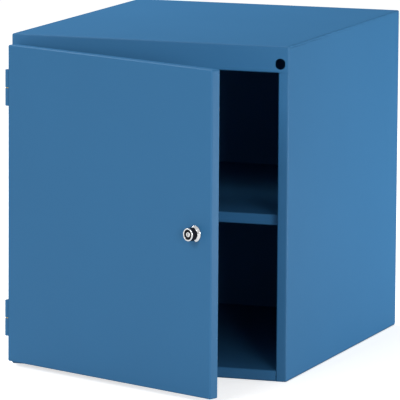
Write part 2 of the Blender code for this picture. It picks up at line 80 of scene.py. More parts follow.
WHITE: Colour = (1.0, 1.0, 1.0)
BLACK: Colour = (0.0, 0.0, 0.0)
RIGHT = np.array([1.0, 0.0, 0.0])
DEEP = np.array([0.0, 1.0, 0.0])
UP = np.array([0.0, 0.0, 1.0])
CORNER_SIGNS = np.array([(1.0, 1.0), (-1.0, 1.0), (-1.0, -1.0), (1.0, -1.0)])

MERGE_DISTANCE = 0.000002
HARD_ANGLE = math.radians(38.0)
BEVEL_STEPS = 2
SOFT_STEPS = 6
ROUND_COLUMNS = 64
NOISE_AVERAGE = 0.5
CLOUD_DETAIL = 2.0
GRAIN_DETAIL = 1.0
# Point attribute that marks painted shade: a dull dark colour on the knob's recess and grip in place of
# their shadow and dark reflections.
PAINTED_SHADE_MARK = "lacquer"


class Body(Enum):
    """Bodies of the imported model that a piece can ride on."""

    CARCASS = "carcass"
    DOOR = "door"
    KNOB = "knob"
    PLUG = "plug"


class Slot(Enum):
    """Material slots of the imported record."""

    PAINT = "blue_paint"
    ZINC = "zinc_plate"
    CHROME = "chrome_plate"
    BRASS = "brass"
    RUBBER = "black_rubber"


class Level(Enum):
    """The two heights at which the door has a hinge and a buffer."""

    UPPER = "upper"
    LOWER = "lower"


class Signal:
    """Output socket of a node graph, on which arithmetic adds Math nodes."""

    def __init__(self, graph: "Graph", socket: bpy.types.NodeSocket) -> None:
        """Keeps the graph and its socket."""
        self.graph = graph
        self.socket = socket

    def _math(self, operation: str, left: "Signal | float", right: "Signal | float") -> "Signal":
        """Adds one Math node for an operation on two values."""
        return self.graph.node("ShaderNodeMath", {"operation": operation}, {0: left, 1: right})

    def __add__(self, other: "Signal | float") -> "Signal":
        """Adds two values."""
        return self._math("ADD", self, other)

    def __sub__(self, other: "Signal | float") -> "Signal":
        """Takes a value from this one."""
        return self._math("SUBTRACT", self, other)

    def __rsub__(self, other: float) -> "Signal":
        """Takes this value from a number."""
        return self._math("SUBTRACT", other, self)

    def __mul__(self, other: "Signal | float") -> "Signal":
        """Multiplies two values."""
        return self._math("MULTIPLY", self, other)

    __radd__ = __add__
    __rmul__ = __mul__

    def larger(self, other: "Signal | float") -> "Signal":
        """Gives the larger of two values."""
        return self._math("MAXIMUM", self, other)

    def above(self, level: float) -> "Signal":
        """Gives 1 where this value is above a level, and 0 elsewhere."""
        return self._math("GREATER_THAN", self, level)

    def size(self) -> "Signal":
        """Gives the value without its sign."""
        return self._math("ABSOLUTE", self, 0.0)

    def spread(self, middle: float, width: float) -> "Signal":
        """Spreads a noise about a value: middle + (noise - its average) * width."""
        return middle + (self - NOISE_AVERAGE) * width


class Graph:
    """Node graph of one material or of the world."""

    def __init__(self, tree: bpy.types.NodeTree) -> None:
        """Starts from an empty tree."""
        self.tree = tree
        tree.nodes.clear()

    def add(self, kind: str, settings: dict[str, Any], sockets: dict[str | int, Any]) -> bpy.types.Node:
        """Adds any node.

        Args:
            kind: Blender's name of the node type.
            settings: properties of the node, set first.
            sockets: values, or signals to link, by the name or number of the input.

        Returns:
            The new node.
        """
        item = self.tree.nodes.new(kind)
        for name, value in settings.items():
            setattr(item, name, value)
        for name, value in sockets.items():
            if isinstance(value, Signal):
                self.tree.links.new(value.socket, item.inputs[name])
            else:
                item.inputs[name].default_value = value
        return item

    def node(self, kind: str, settings: dict[str, Any], sockets: dict[str | int, Any],
             output: str | int = 0) -> Signal:
        """Adds any node and gives one of its outputs, by its name or number."""
        return Signal(self, self.add(kind, settings, sockets).outputs[output])

    def noise(self, place: Signal, size: float, detail: float = CLOUD_DETAIL) -> Signal:
        """Adds a noise pattern.

        Args:
            place: coordinates in metres.
            size: length of one swell of the pattern in metres.
            detail: how many finer octaves are laid over it.

        Returns:
            The noise, from 0 to 1.
        """
        sockets = {"Vector": place, "Scale": 1.0 / size, "Detail": detail}
        return self.node("ShaderNodeTexNoise", {"noise_dimensions": "3D"}, sockets, "Fac")

    def blend(self, factor: Signal, first: Colour | Signal, second: Colour | Signal) -> Signal:
        """Mixes two colours.

        Args:
            factor: 0 for the first colour, 1 for the second.
            first: colour at 0.
            second: colour at 1.

        Returns:
            The mixed colour.
        """
        ends = [value if isinstance(value, Signal) else (*value, 1.0) for value in (first, second)]
        settings = {"data_type": "RGBA", "clamp_factor": True}
        # A Mix node has sockets of one name for each type of data, so the colours go by number.
        return self.node("ShaderNodeMix", settings, {0: factor, 6: ends[0], 7: ends[1]}, 2)

    def relief(self, height: Signal, depth: float) -> Signal:
        """Turns a height from 0 to 1 into a bumped normal of a depth in metres."""
        return self.node("ShaderNodeBump", {}, {"Strength": 1.0, "Distance": depth, "Height": height})

    def principled(self, sockets: dict[str | int, Any]) -> Signal:
        """Adds the standard surface shader with the values or links of its sockets."""
        return self.node("ShaderNodeBsdfPrincipled", {}, sockets)

    def background_rays(self) -> Signal:
        """Marks the rays that show the background.

        Returns:
            1 for what the camera sees directly, in a mirror or through glass, and 0 for light.
        """
        camera, mirror, glass = (self.node("ShaderNodeLightPath", {}, {}, f"Is {name} Ray")
                                 for name in ("Camera", "Glossy", "Transmission"))
        return camera.larger(mirror).larger(glass)


class Finish(ABC):
    """A finish that becomes a material; each kind of finish draws its own shader."""

    name: str

    @abstractmethod
    def shader(self, graph: Graph, place: Signal) -> Signal:
        """Draws the finish.

        Args:
            graph: the material's graph.
            place: coordinates in metres.

        Returns:
            The finish's shader.
        """

    def material(self) -> bpy.types.Material:
        """Makes the finish's material.

        Returns:
            The new material, with its patterns on the piece's own coordinates.
        """
        material = bpy.data.materials.new(self.name)
        material.use_nodes = True
        graph = Graph(material.node_tree)
        place = graph.node("ShaderNodeTexCoord", {}, {}, "Object")
        graph.add("ShaderNodeOutputMaterial", {}, {"Surface": self.shader(graph, place)})
        return material


@dataclass(frozen=True)
class PowderCoat(Finish):
    """Semi-gloss powder coat: a slow drift of colour, fine orange peel and a thin, even sheen."""

    name: str = "blue_powder_coat"
    slot: Slot = Slot.PAINT
    colour: Colour = (0.0315, 0.140, 0.294)
    deep_colour: Colour = (0.0293, 0.130, 0.274)
    drift_size: float = 0.16
    fleck_size: float = 0.0030
    fleck_share: float = 0.3
    peel_size: float = 0.0016
    peel_depth: float = 0.000020
    roughness: float = 0.45
    roughness_spread: float = 0.12
    sheen: float = 0.015

    def shader(self, graph: Graph, place: Signal) -> Signal:
        """Draws the paint: noise drifts the colour and gloss, finer noise gives the orange peel.

        A small share of a mirror is mixed into a matt paint, so that the sheen is the same at every
        angle and a white studio doesn't grey the top, which is seen edge on.

        Args:
            graph: the material's graph.
            place: coordinates in metres.

        Returns:
            The paint's shader.
        """
        drift = graph.noise(place, self.drift_size)
        fleck = graph.noise(place, self.fleck_size)
        peel = graph.noise(place, self.peel_size, GRAIN_DETAIL)
        depth = drift * (1.0 - self.fleck_share) + fleck * self.fleck_share
        colour = graph.blend(depth, self.deep_colour, self.colour)
        shared = {"Roughness": drift.spread(self.roughness, self.roughness_spread),
                  "Normal": graph.relief(peel, self.peel_depth)}
        matt = graph.principled({"Base Color": colour, "Specular IOR Level": 0.0, **shared})
        mirror = graph.principled({"Base Color": (*WHITE, 1.0), "Metallic": 1.0, **shared})
        return graph.node("ShaderNodeMixShader", {}, {0: self.sheen, 1: matt, 2: mirror})


@dataclass(frozen=True)
class Plating(Finish):
    """Plated or bare metal: two near colours in clouds, uneven gloss and a fine grain.

    Where a piece is marked for it, the metal gives way to a dull dark colour: painted shade and painted
    dark reflection in place of the bright plating.
    """

    name: str
    slot: Slot
    colour: Colour
    cloud_colour: Colour
    cloud_size: float
    roughness: float
    roughness_spread: float
    grain_size: float
    grain_depth: float
    # Painted shade: dull dark colour, roughness and gloss of the marked rows, standing in for shadow and
    # dark reflections.
    painted_shade_colour: Colour = (0.012, 0.012, 0.016)
    painted_shade_roughness: float = 0.55
    painted_shade_gloss: float = 0.15

    def shader(self, graph: Graph, place: Signal) -> Signal:
        """Draws the metal: clouds mix the two colours and the gloss, fine noise gives the grain.

        Args:
            graph: the material's graph.
            place: coordinates in metres.

        Returns:
            The shader of the metal and of its painted shade.
        """
        cloud = graph.noise(place, self.cloud_size)
        grain = graph.noise(place, self.grain_size, GRAIN_DETAIL)
        # Share of painted shade that the piece marks on its points.
        lacquer = graph.node("ShaderNodeAttribute", {"attribute_name": PAINTED_SHADE_MARK}, {}, "Fac")
        metal = graph.blend(cloud, self.cloud_colour, self.colour)
        gloss = cloud.spread(self.roughness, self.roughness_spread)
        return graph.principled({
            "Base Color": graph.blend(lacquer, metal, self.painted_shade_colour),
            "Metallic": 1.0 - lacquer,
            "Roughness": gloss + lacquer * (self.painted_shade_roughness - self.roughness),
            "Specular IOR Level": self.painted_shade_gloss,
            "Normal": graph.relief(grain, self.grain_depth),
        })


@dataclass(frozen=True)
class Rubber(Finish):
    """Black rubber with a dusty bloom and a fine moulded grain."""

    name: str = "moulded_rubber"
    slot: Slot = Slot.RUBBER
    colour: Colour = (0.012, 0.012, 0.013)
    bloom_colour: Colour = (0.035, 0.035, 0.036)
    bloom_size: float = 0.0025
    roughness: float = 0.72
    roughness_spread: float = 0.2
    grain_size: float = 0.0004
    grain_depth: float = 0.00002

    def shader(self, graph: Graph, place: Signal) -> Signal:
        """Draws the rubber: noise mixes in the bloom, finer noise gives the grain.

        Args:
            graph: the material's graph.
            place: coordinates in metres.

        Returns:
            The rubber's shader.
        """
        bloom = graph.noise(place, self.bloom_size)
        grain = graph.noise(place, self.grain_size, GRAIN_DETAIL)
        return graph.principled({
            "Base Color": graph.blend(bloom, self.colour, self.bloom_colour),
            "Roughness": bloom.spread(self.roughness, self.roughness_spread),
            "Normal": graph.relief(grain, self.grain_depth),
        })


@dataclass(frozen=True)
class FloorPaint(Finish):
    """Pale matt floor that is lifted to white as a background, except under the cupboard."""

    name: str = "studio_floor_paint"
    colour: Colour = (0.73, 0.73, 0.73)
    cloud_colour: Colour = (0.71, 0.71, 0.71)
    cloud_size: float = 0.5
    lift: float = 0.64
    covered_width: float = 0.449
    covered_depth: float = 0.558

    def shader(self, graph: Graph, place: Signal) -> Signal:
        """Draws the floor, which glows only in rays that show the background.

        Args:
            graph: the material's graph.
            place: coordinates in metres.

        Returns:
            The floor's shader.
        """
        across, deep = (graph.node("ShaderNodeSeparateXYZ", {}, {"Vector": place}, axis).size()
                        for axis in ("X", "Y"))
        clear = across.above(self.covered_width / 2).larger(deep.above(self.covered_depth / 2))
        return graph.principled({
            "Base Color": graph.blend(graph.noise(place, self.cloud_size), self.cloud_colour, self.colour),
            "Roughness": 1.0,
            "Specular IOR Level": 0.0,
            "Emission Color": graph.blend(graph.background_rays() * clear, BLACK, WHITE),
            "Emission Strength": self.lift,
        })


FINISHES = (
    PowderCoat(),
    Plating(name="chrome_plate_metal", slot=Slot.CHROME,
            colour=(0.57, 0.575, 0.58), cloud_colour=(0.50, 0.505, 0.515), cloud_size=0.004,
            roughness=0.10, roughness_spread=0.06, grain_size=0.0012, grain_depth=0.000001),
    Plating(name="zinc_plate_metal", slot=Slot.ZINC,
            colour=(0.50, 0.51, 0.53), cloud_colour=(0.38, 0.39, 0.40), cloud_size=0.003,
            roughness=0.36, roughness_spread=0.20, grain_size=0.0006, grain_depth=0.000004),
    Plating(name="brass_metal", slot=Slot.BRASS,
            colour=(0.56, 0.41, 0.15), cloud_colour=(0.42, 0.30, 0.10), cloud_size=0.003,
            roughness=0.34, roughness_spread=0.20, grain_size=0.0005, grain_depth=0.000004),
    Rubber(),
)


class FinishSet:
    """One material for each slot of the record."""

    def __init__(self) -> None:
        """Builds every finish once."""
        self.materials = {finish.slot: finish.material() for finish in FINISHES}

    def dress(self, piece: bpy.types.Object, body: Body, slot: Slot, *nodes: str) -> None:
        """Gives a piece its finish, its body and the nodes that it stands for.

        Args:
            piece: finished piece at the origin.
            body: the body that it rides on.
            slot: the record's slot of its finish.
            nodes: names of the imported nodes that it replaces.
        """
        piece.data.materials.clear()
        piece.data.materials.append(self.materials[slot])
        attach(piece, body.value)
        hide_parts(*nodes)
        LOG.info("%s: %d faces, %s on %s", piece.name, len(piece.data.polygons), slot.value, body.value)


def grid_faces(rows: int, columns: int, rows_meet: bool, columns_meet: bool) -> Array:
    """Numbers the corners of a grid's quads.

    Args:
        rows: points along the first parameter.
        columns: points along the second parameter.
        rows_meet: whether the last row joins the first.
        columns_meet: whether the last column joins the first.

    Returns:
        Array of four point numbers per quad.
    """
    row = np.arange(rows if rows_meet else rows - 1)[:, None]
    column = np.arange(columns if columns_meet else columns - 1)[None, :]
    next_row = (row + 1) % rows
    next_column = (column + 1) % columns
    corners = [row * columns + column, row * columns + next_column,
               next_row * columns + next_column, next_row * columns + column]
    return np.stack(corners, axis=-1).reshape(-1, 4)


def finish_mesh(piece: bpy.types.Object, outwards: bool) -> bpy.types.Object:
    """Joins doubled points and shades everything but the hard edges smooth.

    Args:
        piece: object with a raw mesh.
        outwards: whether to work out again which way the faces point.

    Returns:
        The same object, with flat faces kept flat next to small bends.
    """
    mesh = piece.data
    work = bmesh.new()
    work.from_mesh(mesh)
    bmesh.ops.remove_doubles(work, verts=work.verts, dist=MERGE_DISTANCE)
    if outwards:
        bmesh.ops.recalc_face_normals(work, faces=work.faces)
    work.to_mesh(mesh)
    work.free()
    mesh.shade_smooth()
    mesh.set_sharp_from_angle(angle=HARD_ANGLE)
    weigh = piece.modifiers.new("flat_faces", "WEIGHTED_NORMAL")
    weigh.keep_sharp = True
    return piece


def surface_piece(name: str, points: Array, rows_meet: bool, columns_meet: bool,
                  caps: bool = False, lacquer: Array | None = None) -> bpy.types.Object:
    """Turns a grid of points into a piece.

    Args:
        name: the piece's name.
        points: array of rows by columns by three coordinates.
        rows_meet: whether the last row joins the first.
        columns_meet: whether the last column joins the first.
        caps: whether the first and last row are closed with a face each.
        lacquer: share of painted shade (dull dark colour) of each row, kept as an attribute of the points.

    Returns:
        The new object, smooth and closed.
    """
    rows, columns = points.shape[:2]
    faces = grid_faces(rows, columns, rows_meet, columns_meet).tolist()
    if caps:
        faces += [list(range(columns)), list(range((rows - 1) * columns, rows * columns))]
    mesh = bpy.data.meshes.new(name)
    mesh.from_pydata(points.reshape(-1, 3).tolist(), [], faces)
    if lacquer is not None:
        mark = mesh.attributes.new(PAINTED_SHADE_MARK, "FLOAT", "POINT")
        mark.data.foreach_set("value", np.repeat(lacquer, columns))
    piece = bpy.data.objects.new(name, mesh)
    bpy.context.scene.collection.objects.link(piece)
    return finish_mesh(piece, outwards=True)


def smooth_copy(name: str, node: str, soft: float = 0.0) -> bpy.types.Object:
    """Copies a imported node's loose triangles into one joined, smoothly shaded piece.

    Args:
        name: the piece's name.
        node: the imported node.
        soft: width of the bevel on its hard edges, if any.

    Returns:
        The new object, of the node's own shape.
    """
    piece = bpy.data.objects.new(name, frame["nodes"][node].data.copy())
    bpy.context.scene.collection.objects.link(piece)
    if soft > 0.0:
        bevel = piece.modifiers.new("soft_edges", "BEVEL")
        bevel.width = soft
        bevel.segments = BEVEL_STEPS
        bevel.limit_method = "ANGLE"
        bevel.angle_limit = HARD_ANGLE
    return finish_mesh(piece, outwards=False)


def arc(centre: tuple[float, float], radius: float, start: float, end: float, steps: int) -> Array:
    """Gives points of a plane arc: centre plus radius times (cosine, sine) of an even angle.

    Args:
        centre: middle of the arc.
        radius: its radius.
        start: first angle in degrees.
        end: last angle in degrees.
        steps: number of steps between them.

    Returns:
        Array of steps + 1 points.
    """
    angle = np.radians(np.linspace(start, end, steps + 1))
    return np.array(centre) + radius * np.stack([np.cos(angle), np.sin(angle)], axis=-1)


def round_corners(half: Array, radius: Array | float, steps: int) -> Array:
    """Draws the quarter-circle corners of rectangles about the origin.

    A corner is sign * (half - radius) + radius * (cosine, sine), with the signs of its quarter.

    Args:
        half: half the width and half the height, or an array that ends with such pairs.
        radius: the corners' radius, or an array that goes with half.
        steps: steps of each quarter circle.

    Returns:
        Array of four corners, counter-clockwise, by steps + 1 points by two coordinates.
    """
    quarter = np.linspace(0.0, math.pi / 2, steps + 1)
    angle = np.arange(len(CORNER_SIGNS))[:, None] * math.pi / 2 + quarter
    way = np.stack([np.cos(angle), np.sin(angle)], axis=-1)
    return CORNER_SIGNS[:, None, :] * (half - radius) + radius * way


def softened(corners: Array) -> Array:
    """Softens a profile: each corner becomes the parabola between points a soft length away.

    The parabola is (1 - s)^2 * before + 2 s (1 - s) * corner + s^2 * after, for s from 0 to 1.

    Args:
        corners: array of (radius, place, soft length) rows in order.

    Returns:
        Array of corners by points of the parabola by (radius, place).
    """
    corner, soft = corners[:, :2], corners[:, 2:]
    back = np.roll(corner, 1, axis=0) - corner
    ahead = np.roll(corner, -1, axis=0) - corner
    before = (corner + soft * back / np.linalg.norm(back, axis=-1, keepdims=True))[:, None]
    after = (corner + soft * ahead / np.linalg.norm(ahead, axis=-1, keepdims=True))[:, None]
    share = np.linspace(0.0, 1.0, SOFT_STEPS + 1)[:, None]
    return (1 - share) ** 2 * before + 2 * share * (1 - share) * corner[:, None] + share ** 2 * after


def joint_facts(name: str) -> dict[str, Any]:
    """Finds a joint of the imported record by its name."""
    return next(joint for joint in frame["joints"] if joint["name"] == name)


def node_points(node: str) -> Array:
    """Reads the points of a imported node.

    Args:
        node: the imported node.

    Returns:
        Array of points by three coordinates.
    """
    vertices = frame["nodes"][node].data.vertices
    points = np.empty(len(vertices) * 3)
    vertices.foreach_get("co", points)
    return points.reshape(-1, 3)


class DoorSwing:
    """Turns points between the shut door, where they are drawn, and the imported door, which is ajar."""

    def __init__(self) -> None:
        """Reads the hinge axis and the shut angle from the door's joint."""
        facts = joint_facts("door_swing")
        self.axis = np.array(facts["pos_m"][:2])
        angle = math.radians(facts["range_deg"][0])
        self.turn = np.array([[math.cos(angle), -math.sin(angle)], [math.sin(angle), math.cos(angle)]])

    def _turned(self, points: Array, turn: Array) -> Array:
        """Turns points about the hinge axis: axis plus (x, y) minus axis times the turn, z kept.

        Args:
            points: array that ends with three coordinates.
            turn: matrix of two by two.

        Returns:
            The turned points.
        """
        turned = points.copy()
        turned[..., :2] = (points[..., :2] - self.axis) @ turn + self.axis
        return turned

    def ajar(self, points: Array) -> Array:
        """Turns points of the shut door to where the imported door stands."""
        return self._turned(points, self.turn.T)

    def shut(self, points: Array) -> Array:
        """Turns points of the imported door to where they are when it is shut."""
        return self._turned(points, self.turn)

    def shut_place(self, joint: str) -> Array:
        """Gives the place of one of the door's joints when it is shut."""
        return self.shut(np.array(joint_facts(joint)["pos_m"]))

    def shut_box(self, node: str) -> tuple[Array, Array]:
        """Gives the lowest and highest corner of one of the door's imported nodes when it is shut."""
        points = self.shut(node_points(node))
        return points.min(axis=0), points.max(axis=0)


@dataclass(frozen=True)
class RoundSize:
    """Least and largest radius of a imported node, and its two ends along an axis."""

    hole: float
    rim: float
    start: float
    end: float


@dataclass
class Spindle:
    """A straight axis, drawn with the door shut, that round pieces are turned about."""

    swing: DoorSwing
    foot: Array
    along: Array
    columns: int = ROUND_COLUMNS

    @classmethod
    def deep(cls, swing: DoorSwing, point: Array, columns: int = ROUND_COLUMNS) -> "Spindle":
        """Gives the axis from front to back through a point, with places along it from the origin."""
        return cls(swing, point * (RIGHT + UP), DEEP, columns)

    def angles(self) -> Array:
        """Gives the even angles of the columns about the axis."""
        return np.linspace(0.0, math.tau, self.columns, endpoint=False)

    def measure(self, node: str) -> RoundSize:
        """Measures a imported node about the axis, with the door shut.

        Args:
            node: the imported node.

        Returns:
            Its radii and ends, taken from its points.
        """
        points = self.swing.shut(node_points(node)) - self.foot
        place = points @ self.along
        radius = np.linalg.norm(points - place[:, None] * self.along, axis=-1)
        return RoundSize(radius.min(), radius.max(), place.min(), place.max())

    def turn(self, name: str, place: Array, radius: Array, closed: bool,
             lacquer: Array | None = None) -> bpy.types.Object:
        """Turns rows of radii into a piece: foot + place * along + radius * (cos * right + sin * third).

        Args:
            name: the piece's name.
            place: position of each row along the axis.
            radius: distance from the axis, rows by columns.
            closed: whether the last row joins the first.
            lacquer: share of painted shade (dull dark colour) of each row.

        Returns:
            The new object, where the door stands ajar.
        """
        angle = self.angles()[:, None]
        around = np.cos(angle) * RIGHT + np.sin(angle) * np.cross(self.along, RIGHT)
        points = self.foot + place[:, None, None] * self.along + radius[..., None] * around
        return surface_piece(name, self.swing.ajar(points), closed, True, lacquer=lacquer)

    def plain(self, name: str, node: str, soft: float, hollow: bool) -> bpy.types.Object:
        """Turns a soft-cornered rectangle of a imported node's size into a washer or a round bar.

        Args:
            name: the piece's name.
            node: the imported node.
            soft: soft length of the corners that aren't on the axis.
            hollow: whether it is a washer, with the node's hole.

        Returns:
            The new object, where the door stands ajar.
        """
        size = self.measure(node)
        inside, inside_soft = (size.hole, soft) if hollow else (0.0, 0.0)
        corners = [(inside, size.start, inside_soft), (size.rim, size.start, soft),
                   (size.rim, size.end, soft), (inside, size.end, inside_soft)]
        pairs = softened(np.array(corners)).reshape(-1, 2)
        return self.turn(name, pairs[:, 1], pairs[:, :1] * np.ones(self.columns), hollow)


@dataclass
class Carcass:
    """Folded sheets of the fixed frame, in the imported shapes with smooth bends."""

    finishes: FinishSet
    sheets: tuple[str, ...] = ("top_panel", "left_side_panel", "right_side_panel", "base_panel",
                               "back_panel", "shelf", "left_shelf_bearer", "right_shelf_bearer")

    def build(self) -> None:
        """Copies each sheet and paints it."""
        for node in self.sheets:
            piece = smooth_copy(f"{node}_sheet", node)
            self.finishes.dress(piece, Body.CARCASS, Slot.PAINT, node)


@dataclass
class Door:
    """Door pan with fine bends, its stiffener and its rubber buffers.

    The flat hold is a narrow strip beside each bend, which keeps the face's shading flat up to it.
    """

    finishes: FinishSet
    swing: DoorSwing
    sheet: float = 0.0012
    bend: float = 0.0025
    lip: float = 0.014
    flat_hold: float = 0.0003
    corner_steps: int = 8
    edge_steps: int = 24
    bend_steps: int = 8
    buffer_soft: float = 0.0008

    def build(self) -> None:
        """Builds the pan, then dresses the stiffener and the buffers."""
        pan = surface_piece("door_pan", self.swing.ajar(self.pan_points()), True, True)
        self.finishes.dress(pan, Body.DOOR, Slot.PAINT, "door_panel")
        hat = smooth_copy("door_stiffener_hat", "door_stiffener")
        self.finishes.dress(hat, Body.DOOR, Slot.PAINT, "door_stiffener")
        for level in Level:
            node = f"{level.value}_door_buffer"
            low, high = self.swing.shut_box(node)
            axis = Spindle.deep(self.swing, (low + high) / 2)
            disc = axis.plain(f"{node}_disc", node, self.buffer_soft, hollow=False)
            self.finishes.dress(disc, Body.DOOR, Slot.RUBBER, node)

    def pan_section(self, thick: float) -> Array:
        """Draws one edge of the pan's section as (inset from the edge, depth from the face) pairs.

        Args:
            thick: depth of the pan.

        Returns:
            The outer side from the face to the lip's edge, then the inner side back to the face.
        """
        near, far = self.bend, thick - self.bend
        inner = self.bend - self.sheet
        held = self.bend + self.flat_hold
        back = thick - self.sheet
        return np.concatenate([
            [(held, 0.0)],
            arc((near, near), self.bend, 270.0, 180.0, self.bend_steps),
            arc((near, far), self.bend, 180.0, 90.0, self.bend_steps),
            [(held, thick), (self.lip, thick), (self.lip, back), (held, back)],
            arc((near, far), inner, 90.0, 180.0, self.bend_steps),
            arc((near, near), inner, 180.0, 270.0, self.bend_steps),
            [(held, self.sheet)],
        ])

    def edge_rings(self, low: Array, high: Array, inset: Array) -> Array:
        """Draws the door's outline drawn in by each inset: straight edges and quarter-circle corners.

        The corner radius is the bend less the inset, and never below nothing.

        Args:
            low: left and bottom of the outline.
            high: right and top of the outline.
            inset: distances from the outline.

        Returns:
            Array of insets by ring points by (x, z).
        """
        drawn_in = inset[:, None, None, None]
        radius = np.maximum(self.bend - drawn_in, 0.0)
        corner = round_corners((high - low) / 2 - drawn_in, radius, self.corner_steps)
        leave = corner[:, :, -1:, :]
        arrive = np.roll(corner, -1, axis=1)[:, :, :1, :]
        share = np.linspace(0.0, 1.0, self.edge_steps + 1)[1:-1, None]
        edge = leave + share * (arrive - leave)
        return (low + high) / 2 + np.concatenate([corner, edge], axis=2).reshape(len(inset), -1, 2)

    def pan_points(self) -> Array:
        """Carries the section round the door's outline and on to the edge of the lock hole.

        Each row is one closed ring: the outline drawn in by the section's inset, at its depth.  The
        first and last rows are the lock hole, whose points lie in the directions of the ring's.

        Returns:
            Array of rows by ring points by three coordinates, with the door shut.
        """
        (left, face, bottom), (right, back, top) = self.swing.shut_box("door_panel")
        section = self.pan_section(back - face)
        rings = self.edge_rings(np.array([left, bottom]), np.array([right, top]), section[:, 0])
        axis = Spindle.deep(self.swing, self.swing.shut_place("knob_turn"))
        lock = axis.foot[[0, 2]]
        way = rings[0] - lock
        reach = axis.measure("door_panel").hole
        hole = lock + reach * way / np.linalg.norm(way, axis=-1, keepdims=True)
        flat = np.concatenate([hole[None], rings, hole[None]])
        depth = np.concatenate([[0.0], section[:, 1], [self.sheet]])[:, None] * np.ones(flat.shape[1])
        return np.stack([flat[..., 0], face + depth, flat[..., 1]], axis=-1)


@dataclass
class Hinges:
    """Two lift-off hinges with rolled knuckles, pins and washers."""

    finishes: FinishSet
    swing: DoorSwing
    leaf: float = 0.0018
    clearance: float = 0.0003
    roll_turn: float = 300.0
    roll_steps: int = 48
    crank_steps: int = 8
    leaf_soft: float = 0.0004
    leaf_soft_steps: int = 4
    pin_soft: float = 0.0010
    washer_soft: float = 0.0002

    def build(self) -> None:
        """Builds the leaves, the pin and the washer of each hinge."""
        axis = Spindle(self.swing, np.array([*self.swing.axis, 0.0]), UP)
        for level in Level:
            hinge = f"{level.value}_hinge"
            pin, washer = f"{hinge}_pin", f"{hinge}_washer"
            frame_path, door_path = self.leaf_paths(hinge, axis.measure(pin).rim)
            self.build_leaf(f"{hinge}_frame_leaf", Body.CARCASS, frame_path)
            self.build_leaf(f"{hinge}_door_leaf", Body.DOOR, door_path)
            rod = axis.plain(f"{pin}_turned", pin, self.pin_soft, hollow=False)
            self.finishes.dress(rod, Body.CARCASS, Slot.ZINC, pin)
            ring = axis.plain(f"{washer}_turned", washer, self.washer_soft, hollow=True)
            self.finishes.dress(ring, Body.DOOR, Slot.BRASS, washer)

    def leaf_paths(self, hinge: str, pin_radius: float) -> tuple[Array, Array]:
        """Draws the middle lines of a hinge's leaves, seen from above with the door shut.

        Both roll round the pin, clear of it; the frame's is cranked to lie on the jamb and the door's
        runs straight back along the pan's edge.

        Args:
            hinge: start of the names of the hinge's nodes.
            pin_radius: radius of its pin.

        Returns:
            The path of the frame's leaf and that of the door's.
        """
        axis_x, axis_y = self.swing.axis
        rolled = pin_radius + self.clearance + self.leaf / 2
        roll = arc((axis_x, axis_y), rolled, 0.0, -self.roll_turn, self.roll_steps)
        lead = axis_x + rolled
        jamb_end, jamb_back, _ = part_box(f"{hinge}_frame_leaf")[1]
        jamb = jamb_back - self.leaf / 2
        crank = arc((lead + self.leaf, jamb - self.leaf), self.leaf, 90.0, 180.0, self.crank_steps)
        _, door_end, _ = self.swing.shut_box(f"{hinge}_door_leaf")[1]
        frame_path = np.concatenate([[(jamb_end, jamb)], crank, roll])
        door_path = np.concatenate([[(lead, door_end)], roll])
        return frame_path, door_path

    def build_leaf(self, node: str, side: Body, path: Array) -> None:
        """Carries a soft-edged strip section along a leaf's path, across its height.

        The section is a rectangle of the leaf's thickness and height with quarter-circle corners; at
        each path point it lies along the path's normal and the vertical.

        Args:
            node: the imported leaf.
            side: the body that it is welded to.
            path: middle line of the leaf seen from above, with the door shut.
        """
        low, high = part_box(node)
        half = np.array([self.leaf, high.z - low.z]) / 2
        section = round_corners(half, self.leaf_soft, self.leaf_soft_steps).reshape(-1, 2)
        step = np.gradient(path, axis=0)
        step /= np.linalg.norm(step, axis=-1, keepdims=True)
        normal = np.stack([-step[:, 1], step[:, 0]], axis=-1)
        flat = path[:, None, :] + section[None, :, :1] * normal[:, None, :]
        height = (low.z + high.z) / 2 + section[None, :, 1:] * np.ones((len(path), 1, 1))
        points = np.concatenate([flat, height], axis=-1)
        if side is Body.DOOR:
            points = self.swing.ajar(points)
        piece = surface_piece(f"{node}_strip", points, False, True, caps=True)
        self.finishes.dress(piece, side, Slot.PAINT, node)


